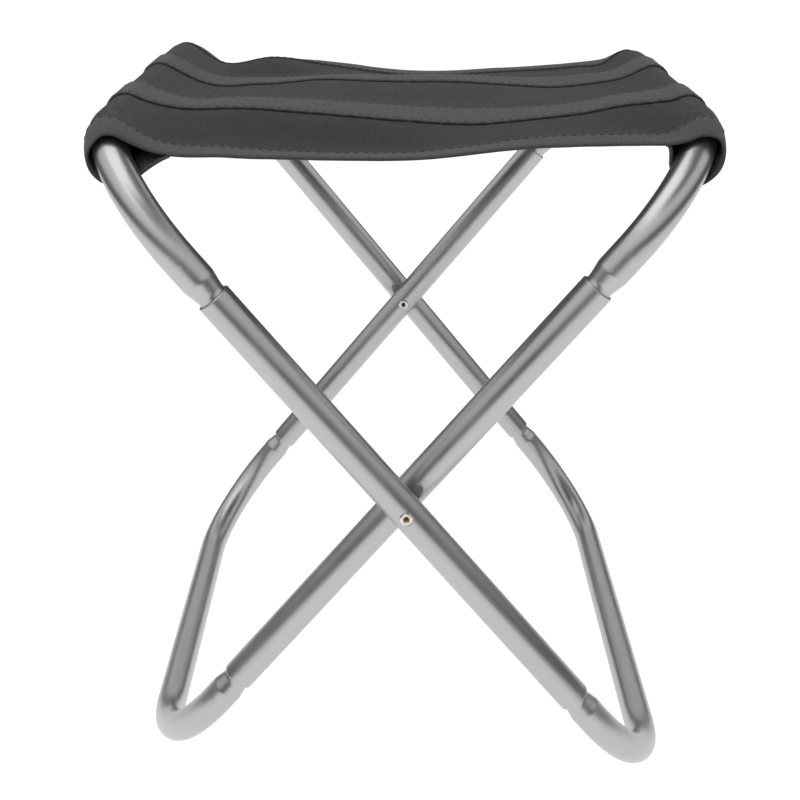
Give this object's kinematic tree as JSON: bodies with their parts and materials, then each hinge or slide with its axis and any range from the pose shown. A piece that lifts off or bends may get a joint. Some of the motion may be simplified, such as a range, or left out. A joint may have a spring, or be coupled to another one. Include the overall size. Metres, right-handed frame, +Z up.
{
  "type": "folding camp stool",
  "caption": "Folding camp stool: two nested aluminium tube hoops crossing on side rivets, with a sagging fabric sling seat sleeved over their top rails.",
  "frame": {"origin": "on the floor, under the middle of the stool: midway between the rails in X and between the legs in Y", "axes": "+Z up; X across the stool from rail to rail, the outer hoop's rail at -X; Y along the pivot axis, front at -Y"},
  "size_m": [0.2256, 0.2596, 0.269],
  "materials": {
    "tube": "satin drawn tube",
    "rivet": "nickel-plated, worn to brass inside the roll",
    "washer": "plain nylon",
    "seat_cloth": "dark grey coated oxford weave",
    "seat_tape": "ribbed dark grey grosgrain"
  },
  "bodies": {
    "outer_hoop": {"outer_seat_rail": "tube", "outer_front_leg": "tube", "outer_rear_leg": "tube", "outer_foot_bar": "tube", "front_pivot_rivet": "rivet", "rear_pivot_rivet": "rivet", "front_pivot_washer": "washer", "rear_pivot_washer": "washer"},
    "inner_hoop": {"inner_seat_rail": "tube", "inner_front_leg": "tube", "inner_rear_leg": "tube", "inner_foot_bar": "tube"},
    "sling_left": {"left_sleeve": "seat_cloth", "left_seat_panel": "seat_cloth", "left_front_hem_tape": "seat_tape", "left_front_seat_tape": "seat_tape", "left_rear_seat_tape": "seat_tape", "left_rear_hem_tape": "seat_tape"},
    "sling_right": {"right_sleeve": "seat_cloth", "right_seat_panel": "seat_cloth", "right_front_hem_tape": "seat_tape", "right_front_seat_tape": "seat_tape", "right_rear_seat_tape": "seat_tape", "right_rear_hem_tape": "seat_tape"}
  },
  "joints": [
    {"name": "fold", "type": "hinge", "parent": "outer_hoop", "child": "inner_hoop", "pos_m": [0, 0, 0.13176], "axis": [0, -1, 0], "range_deg": [0, 70]},
    {"name": "left_sleeve_turn", "type": "hinge", "parent": "outer_hoop", "child": "sling_left", "pos_m": [-0.10415, 0, 0.26038], "axis": [0, 1, 0], "range_deg": [0, 46.02], "deforming": ["left_seat_panel", "left_front_hem_tape", "left_front_seat_tape", "left_rear_seat_tape", "left_rear_hem_tape"]},
    {"name": "right_sleeve_turn", "type": "hinge", "parent": "inner_hoop", "child": "sling_right", "pos_m": [0.10415, 0, 0.26038], "axis": [0, -1, 0], "range_deg": [0, 46.02], "deforming": ["right_seat_panel", "right_front_hem_tape", "right_front_seat_tape", "right_rear_seat_tape", "right_rear_hem_tape"]}
  ],
  "couplings": [
    {"joint": "left_sleeve_turn", "follows": "fold", "ratio": 0.6573},
    {"joint": "right_sleeve_turn", "follows": "fold", "ratio": 0.6573}
  ]
}
